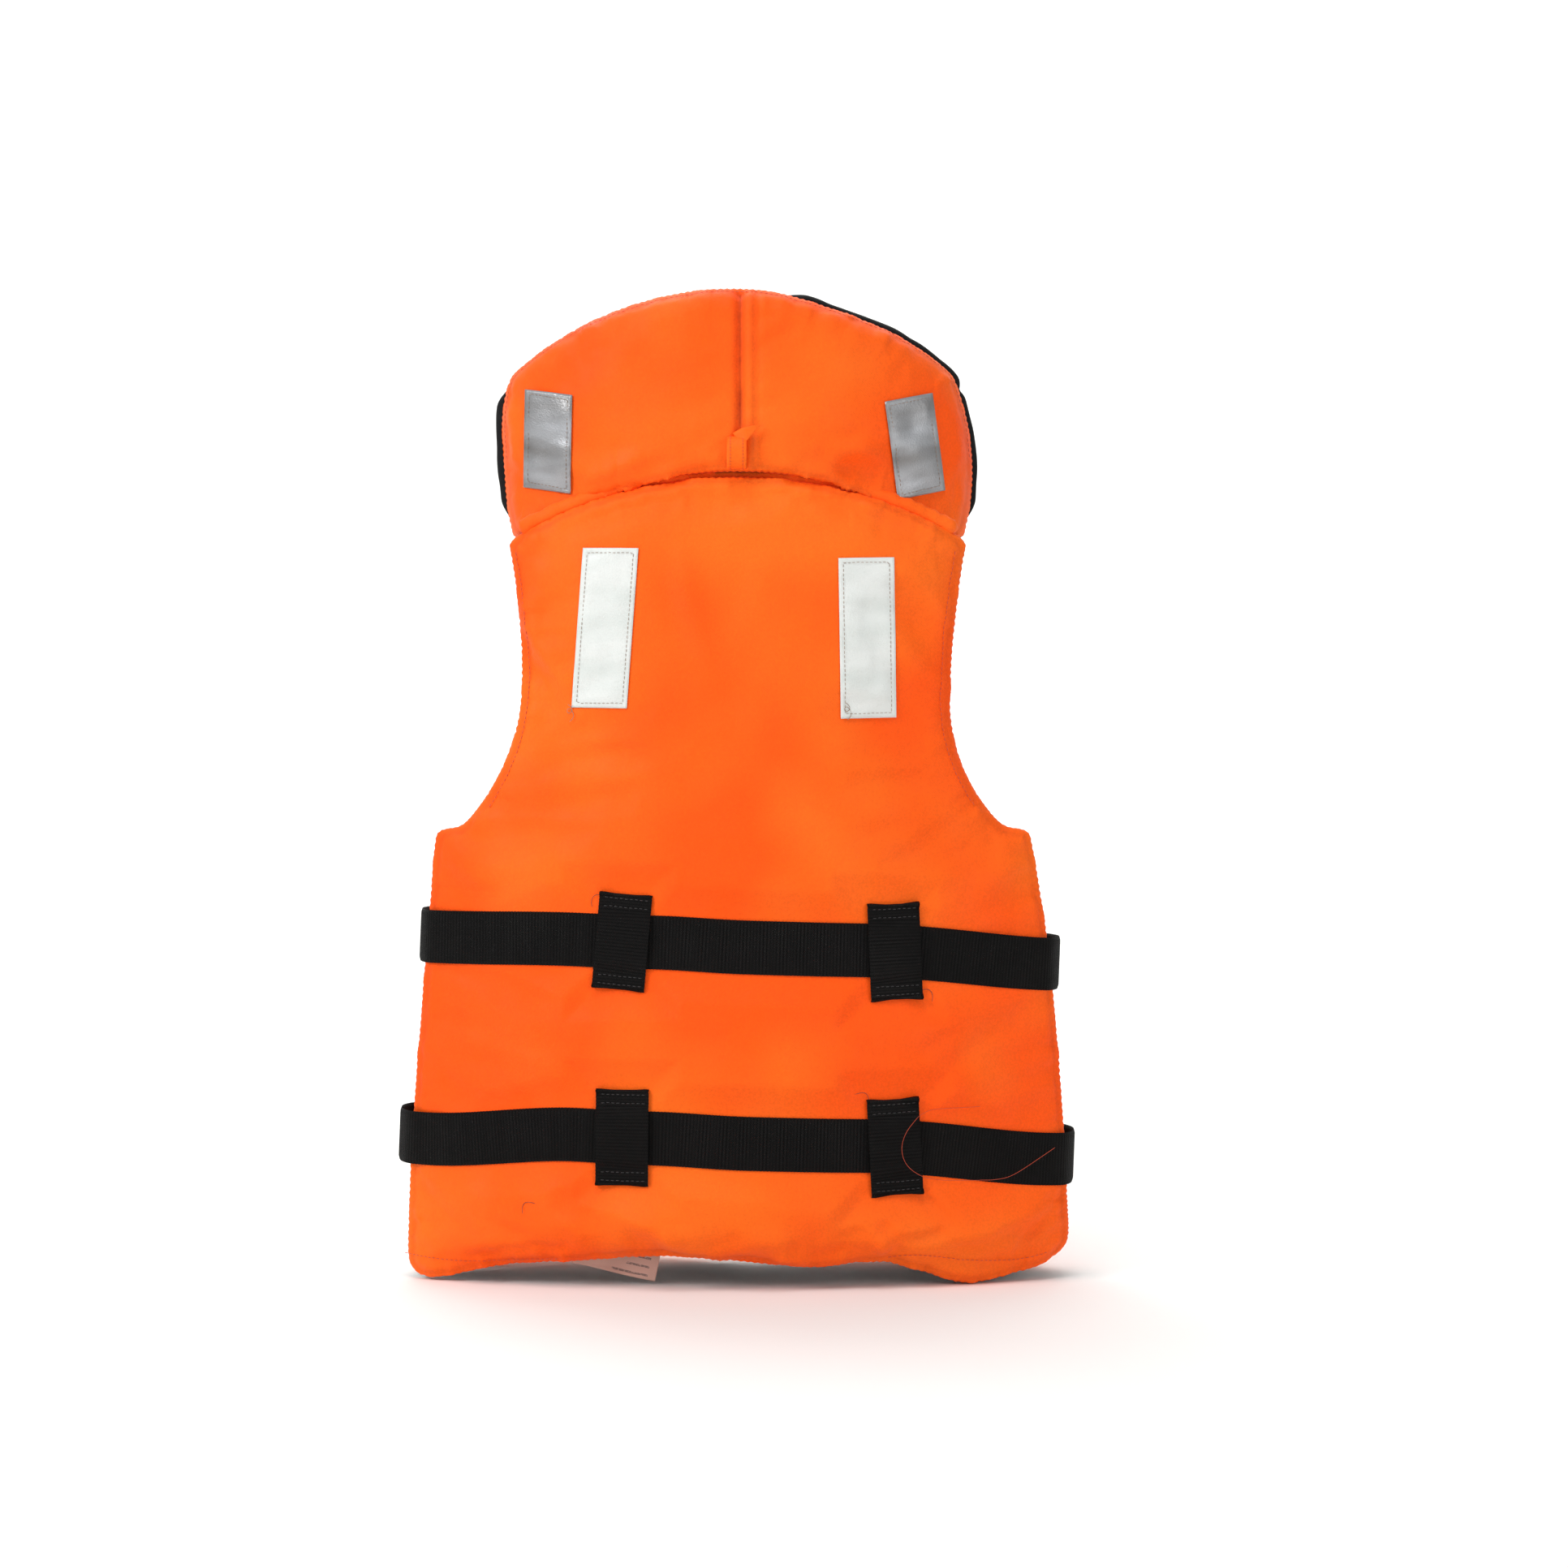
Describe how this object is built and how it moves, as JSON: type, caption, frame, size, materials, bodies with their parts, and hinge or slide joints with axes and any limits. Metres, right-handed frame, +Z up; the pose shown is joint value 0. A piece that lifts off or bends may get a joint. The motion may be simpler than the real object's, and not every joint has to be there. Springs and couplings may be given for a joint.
{
  "type": "life jacket",
  "caption": "Foam life jacket with a fold-down head collar, zipped front, webbing belts with side-release buckles and reflective patches, closed and standing on its hem.",
  "frame": {"origin": "on the floor, in the middle of the jacket's box", "axes": "+Z up from the hem to the collar, -Y towards the zip side, +X to the wearer's left"},
  "size_m": [0.4958, 0.2086, 0.717],
  "materials": {
    "cover": "matte",
    "foam": "matte",
    "lining": "matte",
    "webbing": "matte",
    "white_tape": "satin",
    "collar_tape": "satin",
    "label": "matte",
    "buckle": "satin",
    "zip_plastic": "satin",
    "slider_metal": "satin",
    "whistle": "gloss"
  },
  "bodies": {
    "back": {"back_foam_inner": "foam", "back_foam_outer": "foam", "back_cover": "cover", "back_lining": "lining", "shoulder_left": "cover", "shoulder_right": "cover", "back_belt_upper": "webbing", "back_belt_lower": "webbing", "back_loop_upper_left": "webbing", "back_loop_upper_right": "webbing", "back_loop_lower_left": "webbing", "back_loop_lower_right": "webbing", "back_reflector_left": "white_tape", "back_reflector_right": "white_tape", "care_label": "label"},
    "collar": {"collar_foam_left": "foam", "collar_foam_right": "foam", "collar_cover": "cover", "collar_lining": "lining", "collar_reflector_left": "collar_tape", "collar_reflector_right": "collar_tape", "hanging_loop": "cover"},
    "front_left": {"front_foam_inner_left": "foam", "front_foam_outer_left": "foam", "front_cover_left": "cover", "front_lining_left": "lining", "front_reflector_left": "white_tape", "front_belt_upper_left": "webbing", "front_belt_lower_left": "webbing", "front_loop_upper_left": "webbing", "front_loop_lower_left": "webbing", "zip_tape_left": "webbing", "zip_teeth_left": "zip_plastic", "zip_box": "zip_plastic", "buckle_socket_upper": "buckle", "buckle_socket_lower": "buckle"},
    "front_right": {"front_foam_inner_right": "foam", "front_foam_outer_right": "foam", "front_cover_right": "cover", "front_lining_right": "lining", "front_reflector_right": "white_tape", "front_belt_upper_right": "webbing", "front_belt_lower_right": "webbing", "front_loop_upper_right": "webbing", "front_loop_lower_right": "webbing", "zip_tape_right": "webbing", "zip_teeth_right": "zip_plastic", "zip_pin": "zip_plastic", "whistle": "whistle", "whistle_holder": "webbing"},
    "plug_upper": {"buckle_plug_upper": "buckle"},
    "plug_lower": {"buckle_plug_lower": "buckle"},
    "slider": {"zip_slider": "slider_metal"},
    "pull": {"zip_pull": "slider_metal"}
  },
  "joints": [
    {"name": "front_left_open", "type": "hinge", "parent": "back", "child": "front_left", "pos_m": [0.2475, 0.0092, 0], "axis": [-0.0803, 0, 0.9968], "range_deg": [0, 60]},
    {"name": "front_right_open", "type": "hinge", "parent": "back", "child": "front_right", "pos_m": [-0.2475, 0.0092, 0], "axis": [-0.0803, 0, -0.9968], "range_deg": [0, 60]},
    {"name": "collar_fold", "type": "hinge", "parent": "back", "child": "collar", "pos_m": [0, 0.0957, 0.583], "axis": [-1, 0, 0], "range_deg": [0, 85]},
    {"name": "zip_slide", "type": "slide", "parent": "front_left", "child": "slider", "axis": [0, 0, -1], "range_m": [0, 0.38]},
    {"name": "pull_swing", "type": "hinge", "parent": "slider", "child": "pull", "pos_m": [0, -0.0578, 0.4246], "axis": [-1, 0, 0], "range_deg": [0, 150]},
    {"name": "plug_upper_slide", "type": "slide", "parent": "front_right", "child": "plug_upper", "axis": [0.9993, 0, 0.0384], "range_m": [0, 0.031]},
    {"name": "plug_lower_slide", "type": "slide", "parent": "front_right", "child": "plug_lower", "axis": [0.9993, 0, 0.0384], "range_m": [0, 0.031]}
  ]
}
